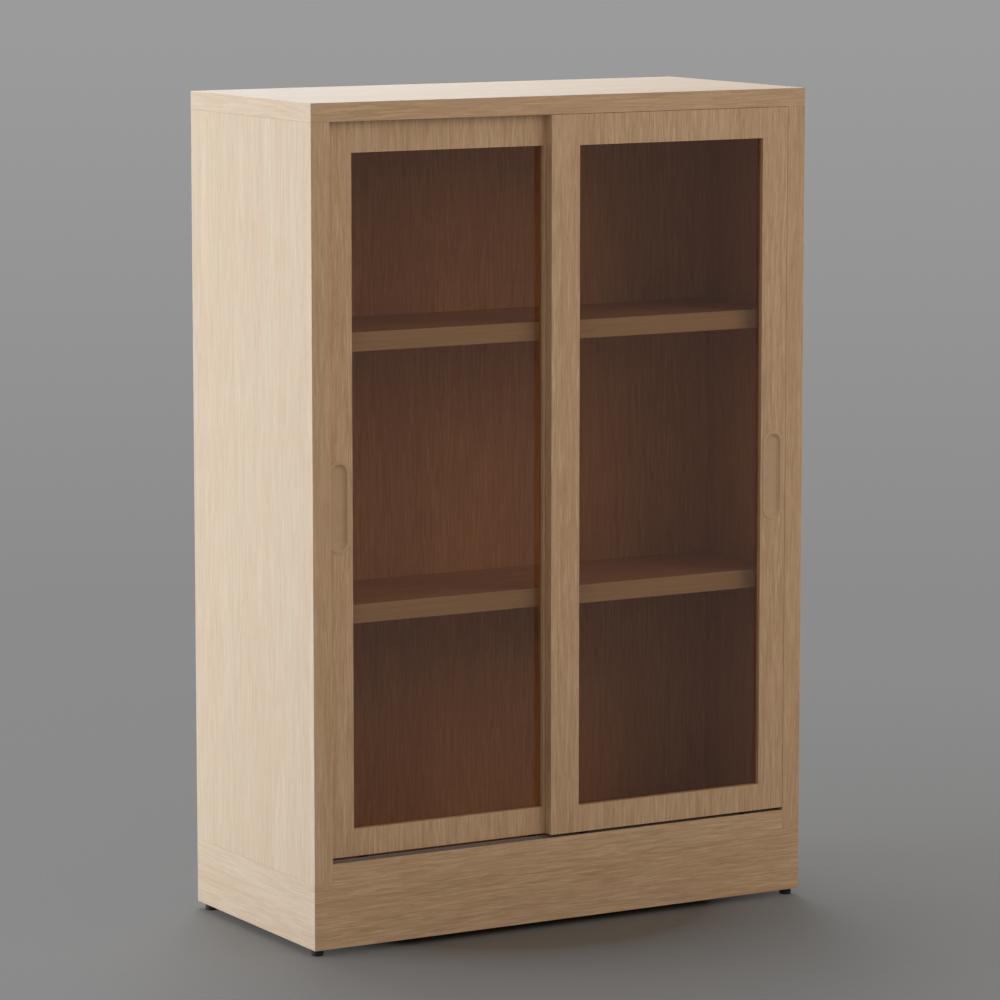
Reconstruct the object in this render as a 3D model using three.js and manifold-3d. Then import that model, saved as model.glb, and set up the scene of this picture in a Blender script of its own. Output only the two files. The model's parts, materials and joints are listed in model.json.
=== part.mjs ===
// Bookcase with two sliding glass doors, in millimetres.
// X runs along the width, Y from the front to the back, Z up from the floor.
// The origin is on the floor, under the middle of the cabinet.

import * as THREE from 'three';
import { mergeVertices } from 'three/addons/utils/BufferGeometryUtils.js';
import Module from 'manifold-3d';

const wasm = await Module();
wasm.setup();

// Cabinet
const cabinetWidth = 800;
const cabinetDepth = 364;
const cabinetHeight = 1181;
const topThickness = 26;
const sideThickness = 28.5;
const bottomThickness = 24;

// Back panel, held in grooves of the sides and the top
const backThickness = 9;
const backRecess = 9;
const grooveDepth = 6;

// Plinth and its feet
const plinthHeight = 93;
const plinthThickness = 25;
const plinthLip = 3;
const footHeight = 10;
const footRadius = 8.5;
const footChamfer = 1;
const footPinRadius = 2;
const footPinLength = 18;
const footInsetSide = 12;
const footInsetFront = 16;
const footInsetBack = 20;

// Shelves and the pins that carry them
const shelfThickness = 26.5;
const lowerBayHeight = 331.5;
const middleBayHeight = 351.7;
const shelfDoorGap = 4;
const shelfEndGap = 1;
const shelfBackGap = 1;
const edgeBandThickness = 2;
const shelfPinRadius = 2.5;
const shelfPinHeadRadius = 3.5;
const shelfPinHeadLength = 8;
const shelfPinShankLength = 8.5;
const shelfPinInset = 45;

// Doors
const doorThickness = 15;
const doorPlaneGap = 2;
const doorSideGap = 0.5;
const doorTopGap = 0.5;
const doorOverlap = 43;
const handleStile = 42;
const meetingStile = 46;
const bottomRail = 38.3;
const topRail = 43.5;

// Glass and the beads behind it
const glassThickness = 4;
const glassSetBack = 7;
const glassRebate = 8;
const glassEdgeGap = 1;

// Finger pulls
const pullLength = 130;
const pullWidth = 35;
const pullRimWidth = 5.8;
const pullRimProud = 0.8;
const pullDepth = 3.8;
const pullWall = 1.2;
const pullSlope = 3.6;
const pullCentreHeight = 491.1;

// Rollers in the lower edge of each door
const rollerRadius = 8;
const rollerWidth = 5;
const rollerChamfer = 0.6;
const rollerTrackGap = 0.3;
const rollerSlotGap = 0.4;
const rollerEndDistance = 60;
const axleRadius = 1.5;
const axleLength = 8.6;
const axleRunningGap = 0.08;
const housingLength = 36;
const housingWidth = 9;
const housingHeight = 20;

// Guides in the upper edge of each door
const guideLength = 30;
const guideWidth = 8;
const guideDepth = 12;
const guideTongueLength = 20;
const guideTongueThickness = 4.4;
const guideTongueRise = 6.8;
const guideEndDistance = 60;

// Tracks
const trackHeight = 2.5;
const trackWeb = 1.3;
const trackEdge = 1.5;
const trackRibWidth = 1.2;
const trackRibRise = 1.8;
const trackDoorGap = 4.3;
const trackSideSlack = 0.5;
const topTrackHeight = 10;
const topTrackWall = 1.5;

// Buffers on the sides, where the doors close
const bufferThickness = 2;
const bufferProud = 0.2;
const bufferHeight = 12;
const bufferMargin = 2;
const bufferLift = 60;

// Clearance of a piece let into another, and the overrun of a cut
const fitGap = 0.3;
const mitreGap = 0.2;
const overrun = 1;

// Places worked out from the sizes
const insideHalfWidth = cabinetWidth / 2 - sideThickness;
const plinthTop = footHeight + plinthHeight;
const floorTop = plinthTop + bottomThickness;
const trackTop = floorTop + trackHeight;
const ceiling = cabinetHeight - topThickness;
const backRear = cabinetDepth - backRecess;
const backFront = backRear - backThickness;
const doorPitch = doorThickness + doorPlaneGap;
const doorWidth = insideHalfWidth - doorSideGap + doorOverlap / 2;
const doorBottom = trackTop + trackDoorGap;
const doorTop = ceiling - doorTopGap;
const doorHeight = doorTop - doorBottom;
const windowWidth = doorWidth - handleStile - meetingStile;
const windowHeight = doorHeight - topRail - bottomRail;
const shelfFront = doorPitch + doorThickness + shelfDoorGap;
const lowerShelfBottom = floorTop + lowerBayHeight;
const upperShelfBottom = lowerShelfBottom + shelfThickness + middleBayHeight;
const rollerAxisHeight = floorTop + trackWeb + rollerTrackGap + rollerRadius - doorBottom;
const rollerChannel = rollerWidth + 2 * trackSideSlack;
const guideChannel = guideTongueThickness + 2 * fitGap;
const footPlace = cabinetWidth / 2 - footInsetSide;
const footRows = [footInsetFront, cabinetDepth - footInsetBack];

const roundSegments = 32;
const smallRoundSegments = 20;
const pullArcSegments = 12;

const finish = (color, roughness, more = {}) => new THREE.MeshStandardMaterial({ color, roughness, ...more });
const oakBoard = finish(0xc9b08c, 0.55);
const plainEdgeBand = finish(0xc2a179, 0.5);
const tanPlastic = finish(0xb8946a, 0.45);
const blackPlastic = finish(0x17171a, 0.5);
const greyPlastic = finish(0x8a7f78, 0.45);
const blackNylon = finish(0x23211f, 0.4);
const greyRubber = finish(0x9c948a, 0.7);
const zincSteel = finish(0xb6b8bb, 0.35, { metalness: 1 });
const bronzeGlass = finish(0x5a3a25, 0.05, { transparent: true, opacity: 0.45 });

// A box with its lowest corner at the given place
function block(size, corner = [0, 0, 0]) {
  const geometry = new THREE.BoxGeometry(...size);
  return geometry.translate(...size.map((length, axis) => length / 2 + corner[axis]));
}

// The solid of a closed geometry, for joining and cutting
function solidOf(geometry) {
  const bare = geometry.clone();
  bare.deleteAttribute('normal');
  bare.deleteAttribute('uv');
  const merged = mergeVertices(bare);
  return new wasm.Manifold(new wasm.Mesh({
    numProp: 3,
    vertProperties: new Float32Array(merged.attributes.position.array),
    triVerts: new Uint32Array(merged.index.array),
  }));
}

function geometryOf(solid) {
  const { vertProperties, triVerts } = solid.getMesh();
  const geometry = new THREE.BufferGeometry();
  geometry.setAttribute('position', new THREE.BufferAttribute(vertProperties, 3));
  geometry.setIndex(new THREE.BufferAttribute(triVerts, 1));
  return geometry;
}

function cut(geometry, ...tools) {
  return geometryOf(tools.reduce((solid, tool) => solid.subtract(solidOf(tool)), solidOf(geometry)));
}

function join(geometry, ...others) {
  return geometryOf(others.reduce((solid, other) => solid.add(solidOf(other)), solidOf(geometry)));
}

// A straight prism on an outline in the XY plane, standing on Z = 0
function prism(points, height) {
  const outline = new THREE.Shape(points.map(([x, y]) => new THREE.Vector2(x, y)));
  return new THREE.ExtrudeGeometry(outline, { depth: height, bevelEnabled: false });
}

// A round piece about Z, from a list of [radius, height] points on one side of the axis
function turned(points, segments) {
  const profile = points.map(([radius, height]) => new THREE.Vector2(radius, height));
  return new THREE.LatheGeometry(profile, segments).rotateX(Math.PI / 2);
}

// An upright outline with round ends, centred on the origin, in the XY plane
function stadium(width, length) {
  const radius = width / 2;
  const straight = length / 2 - radius;
  const outline = new THREE.Shape();
  outline.moveTo(radius, -straight);
  outline.lineTo(radius, straight);
  outline.absarc(0, straight, radius, 0, Math.PI);
  outline.lineTo(-radius, -straight);
  outline.absarc(0, -straight, radius, Math.PI, 2 * Math.PI);
  return outline;
}

// The same outline pushed from the door's face, at the given depth, backwards into the door
function stadiumPlug(width, length, start, end) {
  const options = { depth: end - start, bevelEnabled: false, curveSegments: pullArcSegments };
  const plug = new THREE.ExtrudeGeometry(stadium(width, length), options);
  return plug.rotateX(-Math.PI / 2).translate(0, start, 0);
}

function place(parent, name, geometry, material, position = [0, 0, 0]) {
  const mesh = new THREE.Mesh(geometry, material);
  mesh.name = name;
  mesh.position.set(...position);
  parent.add(mesh);
  return mesh;
}

const bookcase = new THREE.Group();
const cabinet = new THREE.Group();
cabinet.position.y = (pullRimProud - cabinetDepth) / 2;
bookcase.add(cabinet);

// Top panel, with a rebate for the upper track and a groove for the back
const topTrackFront = doorThickness / 2 - guideChannel / 2 - topTrackWall;
const topTrackDepth = doorPitch + guideChannel + 2 * topTrackWall;
const grooveWidth = backThickness + 2 * fitGap;

function makeTopPanel() {
  const panel = block([cabinetWidth, cabinetDepth, topThickness]);
  const trackRebate = block(
    [2 * insideHalfWidth, topTrackDepth + 2 * fitGap, topTrackHeight + overrun],
    [sideThickness, topTrackFront - fitGap, -overrun],
  );
  const backGroove = block(
    [2 * insideHalfWidth + 2 * grooveDepth, grooveWidth, grooveDepth + overrun],
    [sideThickness - grooveDepth, backFront - fitGap, -overrun],
  );
  place(cabinet, 'top_panel', cut(panel, trackRebate, backGroove), oakBoard, [-cabinetWidth / 2, 0, ceiling]);
}

// Side panels, with a groove for the back, bores for the shelf pins and a seat for the buffer
const shelfBack = backFront - shelfBackGap;
const shelfPinRows = [shelfFront + shelfPinInset, shelfBack - shelfPinInset];
const shelfBottoms = { lower: lowerShelfBottom, upper: upperShelfBottom };
const shelfPinDrop = shelfPinHeadRadius + fitGap;
const bufferFront = bufferMargin;
const bufferDepth = doorPitch + doorThickness - 2 * bufferMargin;
const bufferBottom = doorBottom + bufferLift;

function makeSidePanel(name, hand) {
  const inner = hand * insideHalfWidth;
  const panelLeft = hand > 0 ? inner : inner - sideThickness;
  const panel = block([sideThickness, cabinetDepth, ceiling - plinthTop]);
  const local = ([x, y, z]) => [x - panelLeft, y, z - plinthTop];
  const inwards = (deep) => (hand > 0 ? inner - overrun : inner - deep);
  const groove = block(
    [grooveDepth + overrun, grooveWidth, ceiling - plinthTop + 2 * overrun],
    local([inwards(grooveDepth), backFront - fitGap, plinthTop - overrun]),
  );
  const seatDepth = bufferThickness - bufferProud;
  const bufferSeat = block(
    [seatDepth + overrun, bufferDepth + 2 * fitGap, bufferHeight + 2 * fitGap],
    local([inwards(seatDepth), bufferFront - fitGap, bufferBottom - fitGap]),
  );
  const boreRadius = shelfPinRadius + fitGap / 2;
  const boreDepth = shelfPinShankLength + fitGap;
  const boreLength = boreDepth + overrun;
  const bores = Object.values(shelfBottoms).flatMap((shelfBottom) => shelfPinRows.map((row) => {
    const bore = new THREE.CylinderGeometry(boreRadius, boreRadius, boreLength, smallRoundSegments);
    const middle = inwards(boreDepth) + boreLength / 2;
    return bore.rotateZ(Math.PI / 2).translate(...local([middle, row, shelfBottom - shelfPinDrop]));
  }));
  place(cabinet, name, cut(panel, groove, bufferSeat, ...bores), oakBoard, [panelLeft, 0, plinthTop]);
}

function makeBottomPanel() {
  const panel = block([2 * insideHalfWidth, backFront - plinthLip, bottomThickness]);
  place(cabinet, 'bottom_panel', panel, oakBoard, [-insideHalfWidth, plinthLip, plinthTop]);
}

function makeBackPanel() {
  const reach = grooveDepth - fitGap;
  const panel = block([2 * insideHalfWidth + 2 * reach, backThickness, ceiling + reach - plinthTop]);
  place(cabinet, 'back_panel', panel, oakBoard, [-insideHalfWidth - reach, backFront, plinthTop]);
}

// Plinth: a front board mitred to the side boards, and a back board between them.
// A lip on the front board covers the edge of the bottom panel and of the lower track.
const plinthInner = cabinetWidth / 2 - plinthThickness;

function makePlinthFront() {
  const half = cabinetWidth / 2;
  const outline = [[-half, 0], [half, 0], [plinthInner, plinthThickness], [-plinthInner, plinthThickness]];
  const board = prism(outline, plinthHeight);
  const lip = block([2 * insideHalfWidth, plinthLip, trackTop - footHeight], [-insideHalfWidth, 0, 0]);
  place(cabinet, 'plinth_front', join(board, lip), oakBoard, [0, 0, footHeight]);
}

function makePlinthSide(name, hand) {
  const outer = hand * cabinetWidth / 2;
  const inner = hand * plinthInner;
  const mitre = [[outer, mitreGap], [inner, plinthThickness + mitreGap]];
  const outline = [...mitre, [inner, cabinetDepth], [outer, cabinetDepth]];
  const board = prism(outline, plinthHeight);
  const boreRadius = footPinRadius + fitGap / 2;
  const boreLength = footPinLength + fitGap + overrun;
  const bores = footRows.map((row) => {
    const bore = new THREE.CylinderGeometry(boreRadius, boreRadius, boreLength, smallRoundSegments);
    return bore.rotateX(Math.PI / 2).translate(hand * footPlace, row, boreLength / 2 - overrun);
  });
  place(cabinet, name, cut(board, ...bores), oakBoard, [0, 0, footHeight]);
}

function makePlinthBack() {
  const board = block([2 * plinthInner, plinthThickness, plinthHeight]);
  const corner = [-plinthInner, cabinetDepth - plinthThickness, footHeight];
  place(cabinet, 'plinth_back', board, oakBoard, corner);
}

// Feet: a glide under each end of the side boards, with a pin up into the board
function makeFoot(name, hand, row) {
  const outline = [
    [0, 0], [footRadius - footChamfer, 0], [footRadius, footChamfer], [footRadius, footHeight],
    [footPinRadius, footHeight], [footPinRadius, footHeight + footPinLength],
    [0, footHeight + footPinLength],
  ];
  const foot = turned(outline, roundSegments);
  place(cabinet, name, foot, blackPlastic, [hand * footPlace, row, 0]);
}

// Shelves, each with a plain band on its front edge, on four pins
const shelfHalfWidth = insideHalfWidth - shelfEndGap;

function makeShelf(level) {
  const bottom = shelfBottoms[level];
  const bandBack = shelfFront + edgeBandThickness;
  const shelf = block([2 * shelfHalfWidth, shelfBack - bandBack, shelfThickness]);
  const band = block([2 * shelfHalfWidth, edgeBandThickness, shelfThickness]);
  place(cabinet, `${level}_shelf`, shelf, oakBoard, [-shelfHalfWidth, bandBack, bottom]);
  place(cabinet, `${level}_shelf_edge_band`, band, plainEdgeBand, [-shelfHalfWidth, shelfFront, bottom]);
  for (const [side, hand] of [['left', -1], ['right', 1]]) {
    for (const [end, row] of [['front', shelfPinRows[0]], ['back', shelfPinRows[1]]]) {
      const outline = [
        [0, -shelfPinShankLength], [shelfPinRadius, -shelfPinShankLength], [shelfPinRadius, 0],
        [shelfPinHeadRadius, 0], [shelfPinHeadRadius, shelfPinHeadLength], [0, shelfPinHeadLength],
      ];
      const pin = turned(outline, smallRoundSegments).rotateY(-hand * Math.PI / 2);
      const position = [hand * insideHalfWidth, row, bottom - shelfPinDrop];
      place(cabinet, `${level}_shelf_pin_${end}_${side}`, pin, zincSteel, position);
    }
  }
}

// Tracks: each has two channels, in line with the middle of each door
const doorPlanes = [doorThickness / 2, doorPitch + doorThickness / 2];

// The lower track lies behind the plinth's lip, flush with it, with a low rib between the two doors
function makeBottomTrack() {
  const length = 2 * insideHalfWidth - 2 * fitGap;
  const front = plinthLip + fitGap;
  const back = doorPlanes[1] + rollerChannel / 2 + trackEdge;
  const strip = block([length, back - front, trackHeight], [0, front, 0]);
  const channels = doorPlanes.map((middle) => block(
    [length + 2 * overrun, rollerChannel, trackHeight - trackWeb + overrun],
    [-overrun, middle - rollerChannel / 2, trackWeb],
  ));
  const ribFront = doorThickness + (doorPlaneGap - trackRibWidth) / 2;
  const rib = block([length, trackRibWidth, trackHeight + trackRibRise], [0, ribFront, 0]);
  place(cabinet, 'bottom_track', join(cut(strip, ...channels), rib), greyPlastic, [-length / 2, 0, floorTop]);
}

// The upper track is let into the top panel, with walls on both sides of each channel
function makeTopTrack() {
  const length = 2 * insideHalfWidth - 2 * fitGap;
  const baseCorner = [0, topTrackFront, topTrackHeight - topTrackWall];
  const base = block([length, topTrackDepth, topTrackWall], baseCorner);
  const walls = doorPlanes.flatMap((middle) => [
    middle - guideChannel / 2 - topTrackWall,
    middle + guideChannel / 2,
  ]).map((front) => block([length, topTrackWall, topTrackHeight], [0, front, 0]));
  place(cabinet, 'top_track', join(base, ...walls), greyPlastic, [-length / 2, 0, ceiling]);
}

function makeBuffer(name, hand) {
  const buffer = block([bufferThickness, bufferDepth, bufferHeight]);
  const inner = hand * (insideHalfWidth - bufferProud);
  const left = hand > 0 ? inner : inner - bufferThickness;
  place(cabinet, name, buffer, greyRubber, [left, bufferFront, bufferBottom]);
}

// Doors: each is a group with its origin in the middle of its lower edge, on its front face.
// The hand is 1 where the finger pull is on the right and -1 where it is on the left.
const windowCentre = (hand) => hand * (meetingStile - handleStile) / 2;
const pullPlace = (hand) => hand * (doorWidth - handleStile) / 2;
const rollerPlaces = [-1, 1].map((end) => end * (doorWidth / 2 - rollerEndDistance));
const guidePlaces = [-1, 1].map((end) => end * (doorWidth / 2 - guideEndDistance));

function makeDoorFrame(door, prefix, hand) {
  const windowLeft = windowCentre(hand) - windowWidth / 2;
  const panel = block([doorWidth, doorThickness, doorHeight], [-doorWidth / 2, 0, 0]);
  const window = block(
    [windowWidth, doorThickness + 2 * overrun, windowHeight],
    [windowLeft, -overrun, bottomRail],
  );
  const rebate = block(
    [windowWidth + 2 * glassRebate, doorThickness - glassSetBack + overrun, windowHeight + 2 * glassRebate],
    [windowLeft - glassRebate, glassSetBack, bottomRail - glassRebate],
  );
  const pocketWidth = pullWidth - 2 * pullRimWidth + 2 * pullWall + 2 * fitGap;
  const pocketLength = pullLength - 2 * pullRimWidth + 2 * pullWall + 2 * fitGap;
  const pocket = stadiumPlug(pocketWidth, pocketLength, -overrun, pullDepth + pullWall + fitGap);
  pocket.translate(pullPlace(hand), 0, pullCentreHeight);
  const rollerMortises = rollerPlaces.map((x) => block(
    [housingLength + 2 * fitGap, housingWidth + 2 * fitGap, housingHeight + fitGap + overrun],
    [x - housingLength / 2 - fitGap, (doorThickness - housingWidth) / 2 - fitGap, -overrun],
  ));
  const guideMortiseBottom = doorHeight - guideDepth - fitGap;
  const guideMortises = guidePlaces.map((x) => block(
    [guideLength + 2 * fitGap, guideWidth + 2 * fitGap, guideDepth + fitGap + overrun],
    [x - guideLength / 2 - fitGap, (doorThickness - guideWidth) / 2 - fitGap, guideMortiseBottom],
  ));
  const frame = cut(panel, window, rebate, pocket, ...rollerMortises, ...guideMortises);
  place(door, `${prefix}_door_frame`, frame, oakBoard);
}

// The pane stands against the front shoulder of its rebate
function makeGlass(door, prefix, hand) {
  const reach = glassRebate - glassEdgeGap;
  const pane = block([windowWidth + 2 * reach, glassThickness, windowHeight + 2 * reach]);
  const left = windowCentre(hand) - windowWidth / 2 - reach;
  place(door, `${prefix}_door_glass`, pane, bronzeGlass, [left, glassSetBack, bottomRail - reach]);
}

// Four mitred beads fill the rebate behind the pane, flush with the back of the door
function makeBeads(door, prefix, hand) {
  const beadWidth = glassRebate - fitGap;
  const beadThickness = doorThickness - glassSetBack - glassThickness;
  const bead = (span) => {
    const half = span / 2 - mitreGap;
    const outline = [[-half, 0], [half, 0], [half + beadWidth, -beadWidth], [-half - beadWidth, -beadWidth]];
    return prism(outline, beadThickness).rotateX(Math.PI / 2).translate(0, beadThickness, 0);
  };
  const middle = windowCentre(hand);
  const back = glassSetBack + glassThickness;
  const height = bottomRail + windowHeight / 2;
  const beads = {
    bottom: { span: windowWidth, turn: 0, position: [middle, back, bottomRail] },
    top: { span: windowWidth, turn: Math.PI, position: [middle, back, bottomRail + windowHeight] },
    left: { span: windowHeight, turn: Math.PI / 2, position: [middle - windowWidth / 2, back, height] },
    right: { span: windowHeight, turn: -Math.PI / 2, position: [middle + windowWidth / 2, back, height] },
  };
  for (const [side, { span, turn, position }] of Object.entries(beads)) {
    const mesh = place(door, `${prefix}_door_bead_${side}`, bead(span), oakBoard, position);
    mesh.rotation.y = turn;
  }
}

// Finger pull: a shallow cup with sloping walls, let into the stile, with a rim just proud of the door
function makePull(door, prefix, hand) {
  const mouthWidth = pullWidth - 2 * pullRimWidth;
  const mouthLength = pullLength - 2 * pullRimWidth;
  const rim = stadiumPlug(pullWidth, pullLength, -pullRimProud, 0);
  const cupWidth = mouthWidth + 2 * pullWall;
  const cupLength = mouthLength + 2 * pullWall;
  const cup = stadiumPlug(cupWidth, cupLength, -pullRimProud, pullDepth + pullWall);
  const hollowOutline = stadium(mouthWidth - 2 * pullSlope, mouthLength - 2 * pullSlope);
  const hollow = new THREE.ExtrudeGeometry(hollowOutline, {
    depth: pullDepth,
    bevelThickness: pullSlope,
    bevelSize: pullSlope,
    bevelSegments: 1,
    curveSegments: pullArcSegments,
  });
  hollow.rotateX(-Math.PI / 2).translate(0, -pullSlope, 0);
  const pull = cut(join(rim, cup), hollow);
  place(door, `${prefix}_door_pull`, pull, tanPlastic, [pullPlace(hand), 0, pullCentreHeight]);
}

// Roller: a wheel on an axle in a housing that is let into the lower edge of the door
function makeRoller(door, prefix, end, x) {
  const middle = doorThickness / 2;
  const slotLength = 2 * (rollerRadius + rollerSlotGap);
  const slotWidth = rollerWidth + 2 * rollerSlotGap;
  const slotTop = rollerAxisHeight + rollerRadius + rollerSlotGap;
  const bodyCorner = [-housingLength / 2, -housingWidth / 2, 0];
  const body = block([housingLength, housingWidth, housingHeight], bodyCorner);
  const slot = block([slotLength, slotWidth, slotTop + overrun], [-slotLength / 2, -slotWidth / 2, -overrun]);
  const bore = new THREE.CylinderGeometry(
    axleRadius + axleRunningGap, axleRadius + axleRunningGap, housingWidth + 2 * overrun, roundSegments,
  ).translate(0, 0, rollerAxisHeight);
  place(door, `${prefix}_roller_housing_${end}`, cut(body, slot, bore), blackNylon, [x, middle, 0]);

  const half = rollerWidth / 2;
  const boreRadius = axleRadius + axleRunningGap;
  const section = [
    [boreRadius, -half], [rollerRadius - rollerChamfer, -half], [rollerRadius, rollerChamfer - half],
    [rollerRadius, half - rollerChamfer], [rollerRadius - rollerChamfer, half], [boreRadius, half],
    [boreRadius, -half],
  ];
  const wheel = turned(section, roundSegments).rotateX(-Math.PI / 2);
  place(door, `${prefix}_roller_wheel_${end}`, wheel, blackNylon, [x, middle, rollerAxisHeight]);

  const axle = new THREE.CylinderGeometry(axleRadius, axleRadius, axleLength, roundSegments);
  place(door, `${prefix}_roller_axle_${end}`, axle, zincSteel, [x, middle, rollerAxisHeight]);
}

// Guide: a block let into the upper edge of the door, with a tongue up into the track
function makeGuide(door, prefix, end, x) {
  const body = block([guideLength, guideWidth, guideDepth], [-guideLength / 2, -guideWidth / 2, -guideDepth]);
  const tongue = block(
    [guideTongueLength, guideTongueThickness, guideTongueRise + overrun],
    [-guideTongueLength / 2, -guideTongueThickness / 2, -overrun],
  );
  const position = [x, doorThickness / 2, doorHeight];
  place(door, `${prefix}_door_guide_${end}`, join(body, tongue), blackNylon, position);
}

function makeDoor(prefix, hand, plane) {
  const door = new THREE.Group();
  door.position.set(hand * (insideHalfWidth - doorSideGap - doorWidth / 2), plane * doorPitch, doorBottom);
  cabinet.add(door);
  makeDoorFrame(door, prefix, hand);
  makeGlass(door, prefix, hand);
  makeBeads(door, prefix, hand);
  makePull(door, prefix, hand);
  ['left', 'right'].forEach((end, index) => {
    makeRoller(door, prefix, end, rollerPlaces[index]);
    makeGuide(door, prefix, end, guidePlaces[index]);
  });
}

makeTopPanel();
makeSidePanel('left_side_panel', -1);
makeSidePanel('right_side_panel', 1);
makeBottomPanel();
makeBackPanel();
makePlinthFront();
makePlinthSide('plinth_left', -1);
makePlinthSide('plinth_right', 1);
makePlinthBack();
makeFoot('foot_front_left', -1, footRows[0]);
makeFoot('foot_front_right', 1, footRows[0]);
makeFoot('foot_back_left', -1, footRows[1]);
makeFoot('foot_back_right', 1, footRows[1]);
makeShelf('lower');
makeShelf('upper');
makeBottomTrack();
makeTopTrack();
makeBuffer('buffer_left', -1);
makeBuffer('buffer_right', 1);
makeDoor('front', 1, 0);
makeDoor('rear', -1, 1);

export default bookcase;
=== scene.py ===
import json
from math import cos, pi, radians, sin

import bmesh
import bpy
from mathutils import Matrix, Vector

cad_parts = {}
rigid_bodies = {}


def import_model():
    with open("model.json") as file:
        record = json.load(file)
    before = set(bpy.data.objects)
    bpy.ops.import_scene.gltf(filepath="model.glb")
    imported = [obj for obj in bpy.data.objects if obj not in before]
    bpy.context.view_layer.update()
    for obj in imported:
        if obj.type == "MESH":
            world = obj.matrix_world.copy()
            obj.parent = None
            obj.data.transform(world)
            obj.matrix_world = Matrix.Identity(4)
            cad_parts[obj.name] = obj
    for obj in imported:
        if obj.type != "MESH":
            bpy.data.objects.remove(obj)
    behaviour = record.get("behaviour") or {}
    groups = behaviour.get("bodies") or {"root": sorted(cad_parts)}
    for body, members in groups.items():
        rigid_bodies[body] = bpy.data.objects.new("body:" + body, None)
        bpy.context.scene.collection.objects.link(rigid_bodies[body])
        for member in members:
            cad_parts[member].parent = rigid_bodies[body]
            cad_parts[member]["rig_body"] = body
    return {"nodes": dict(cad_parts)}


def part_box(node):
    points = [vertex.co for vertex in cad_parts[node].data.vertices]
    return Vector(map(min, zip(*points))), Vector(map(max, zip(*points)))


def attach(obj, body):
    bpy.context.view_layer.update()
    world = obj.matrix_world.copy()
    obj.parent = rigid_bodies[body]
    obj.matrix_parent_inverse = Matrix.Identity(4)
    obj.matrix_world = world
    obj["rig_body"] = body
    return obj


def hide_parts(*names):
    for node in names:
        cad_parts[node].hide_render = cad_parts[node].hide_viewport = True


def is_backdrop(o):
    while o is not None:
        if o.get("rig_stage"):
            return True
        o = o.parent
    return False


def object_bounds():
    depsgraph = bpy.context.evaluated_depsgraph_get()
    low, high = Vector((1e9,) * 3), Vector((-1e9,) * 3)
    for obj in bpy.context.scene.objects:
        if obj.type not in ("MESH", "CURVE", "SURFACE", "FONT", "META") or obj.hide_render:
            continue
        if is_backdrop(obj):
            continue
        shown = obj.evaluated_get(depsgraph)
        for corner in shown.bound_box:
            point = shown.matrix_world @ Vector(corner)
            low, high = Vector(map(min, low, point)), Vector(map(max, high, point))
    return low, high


bl_info = {
    "name": "Bookcase with sliding glass doors",
    "version": (1, 0, 0),
    "blender": (4, 5, 0),
    "location": "3D View > Sidebar > Bookcase",
    "description": "Dresses the bookcase: oak veneer, bronze glass, finger pulls and fittings",
    "category": "Object",
}

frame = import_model()
solid_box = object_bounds()

MILLIMETRE = 0.001
GRAIN_MAP = "grain"
FIGURE = "figure"
X, Y, Z = range(3)
# The boards whose outer faces carry the pale, quiet veneer, partly a painted highlight of the lit side and
# top
SHELL = ("top_panel", "left_side_panel", "right_side_panel", "plinth_left", "plinth_right")


# Settings

def linear(code):
    """The linear colour of a web code, which is written as the eye sees it."""
    shares = [int(code[at:at + 2], 16) / 255 for at in (0, 2, 4)]
    return [share / 12.92 if share <= 0.04045 else ((share + 0.055) / 1.055) ** 2.4 for share in shares]


def size(name, description, millimetres):
    return bpy.props.FloatProperty(
        name=name, description=description, default=millimetres * MILLIMETRE, min=0, precision=5,
        unit="LENGTH",
    )


def colour(name, description, code):
    return bpy.props.FloatVectorProperty(
        name=name, description=description, default=linear(code), min=0, max=1, size=3, subtype="COLOR",
    )


def share(name, description, amount):
    return bpy.props.FloatProperty(
        name=name, description=description, default=amount, min=0, subtype="FACTOR",
    )


def power(name, watts):
    return bpy.props.FloatProperty(name=name, description="In watts", default=watts, unit="POWER")


def place(name, description, metres):
    return bpy.props.FloatVectorProperty(
        name=name, description=description, default=metres, size=3, subtype="TRANSLATION", unit="LENGTH",
    )


class BoardSettings(bpy.types.PropertyGroup):
    """Oak veneer and the easing of the boards' edges"""
    pale: colour("Pale wood", "Early wood between the fibres", "d6b48d")
    # Light sheets: a paler tone with less grain, partly the veneer's own and partly a painted highlight of
    # the brightly lit side and top
    light: colour("Light sheets", "Early wood where the figure is quiet", "d8c4a9")
    deep: colour("Deep wood", "Darker late wood in the fibres", "b79068")
    rose: colour("Rose wood", "Broad bands that lean to pink", "d6aa8b")
    sap: colour("Flecks", "Short light flecks between the fibres", "f0d1a8")
    pore: colour("Pores", "Open pores, filled with shadow", "8d6d4a")
    quiet: share("Quiet figure", "Strength of the grain on the shell's outer faces and on backs", 0.5)
    lively: share("Lively figure", "Strength of the grain on all other faces", 1.2)
    edge: share("Edge figure", "Strength of the grain on the shell's front edges", 0.95)
    fibre_length: size("Fibre length", "How long a streak of fibre runs", 56)
    fibre_width: size("Fibre width", "How wide a streak of fibre is", 2.8)
    fleck_length: size("Fleck length", "How long a light fleck is", 46)
    fleck_width: size("Fleck width", "How wide a light fleck is", 1.8)
    pore_length: size("Pore length", "How long a pore is", 15)
    pore_width: size("Pore width", "How wide a pore is", 0.9)
    band_length: size("Band length", "How long a band of tone runs", 600)
    band_width: size("Band width", "How wide a band of tone is", 30)
    wander: size("Wander", "How far the grain wanders from straight", 5)
    ripple_length: size("Ripple length", "How long a small wave in the grain is", 40)
    ripple: size("Ripple", "How far a small wave pushes the grain", 2)
    pore_depth: size("Pore depth", "How deep the open pores are", 0.12)
    carcass_ease: size("Carcass edge", "How far the carcass boards' edges are eased", 0.35)
    door_ease: size("Door edge", "How far the doors' edges are eased", 0.15)


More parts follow.
